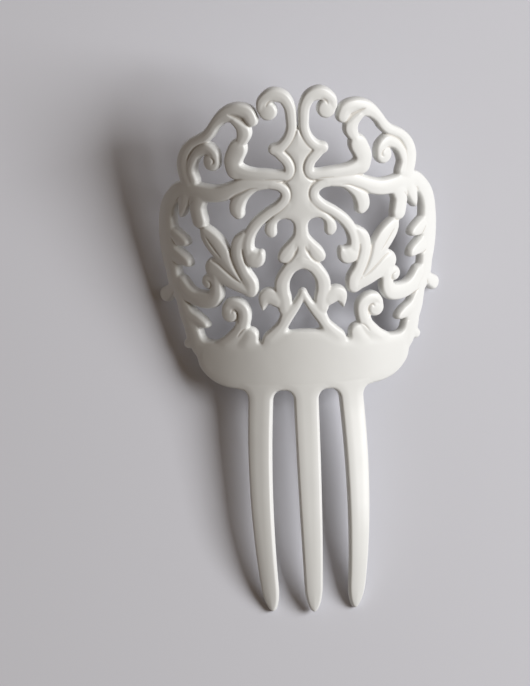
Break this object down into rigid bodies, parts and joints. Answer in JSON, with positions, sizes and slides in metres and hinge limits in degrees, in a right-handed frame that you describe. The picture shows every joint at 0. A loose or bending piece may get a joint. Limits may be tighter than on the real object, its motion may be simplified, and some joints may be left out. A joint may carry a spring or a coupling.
{
  "type": "decorative hair comb",
  "caption": "Curved moulded hair comb with an openwork crest of scrolls and leaves above a plain band; its tapered teeth slide into hair to hold it.",
  "frame": {"origin": "middle of the bounding box in X and Y, at the lowest point in Z, where the comb rests on a table", "axes": "+X to the right as seen from the front, +Y from the tooth tips to the top of the crest, +Z out of the comb's convex front, up from the table it lies on"},
  "size_m": [0.068, 0.1286, 0.0355],
  "materials": {
    "plastic": "glossy moulded white, slightly pearly"
  },
  "bodies": {
    "root": {"band": "plastic", "middle_tooth": "plastic", "centre_panel": "plastic", "ogee_loop": "plastic", "gable": "plastic", "left_tooth": "plastic", "right_tooth": "plastic", "left_crown_curl": "plastic", "right_crown_curl": "plastic", "left_waist_scroll": "plastic", "right_waist_scroll": "plastic", "left_shoulder_scroll": "plastic", "right_shoulder_scroll": "plastic", "left_shoulder_leaf": "plastic", "right_shoulder_leaf": "plastic", "left_shoulder_volute": "plastic", "right_shoulder_volute": "plastic", "left_side_arm": "plastic", "right_side_arm": "plastic", "left_arm_lobe": "plastic", "right_arm_lobe": "plastic", "left_rail_spur": "plastic", "right_rail_spur": "plastic", "left_drop": "plastic", "right_drop": "plastic", "left_lyre_arm": "plastic", "right_lyre_arm": "plastic", "left_upper_leaflet": "plastic", "right_upper_leaflet": "plastic", "left_lower_leaflet": "plastic", "right_lower_leaflet": "plastic", "left_leaf_stalk": "plastic", "right_leaf_stalk": "plastic", "left_long_leaf": "plastic", "right_long_leaf": "plastic", "left_fan_leaf": "plastic", "right_fan_leaf": "plastic", "left_lower_arm": "plastic", "right_lower_arm": "plastic", "left_outer_rail": "plastic", "right_outer_rail": "plastic", "left_bead": "plastic", "right_bead": "plastic", "left_skirt_leaf": "plastic", "right_skirt_leaf": "plastic", "left_band_volute": "plastic", "right_band_volute": "plastic", "left_band_bud": "plastic", "right_band_bud": "plastic", "left_ogee_hook": "plastic", "right_ogee_hook": "plastic"}
  },
  "joints": []
}
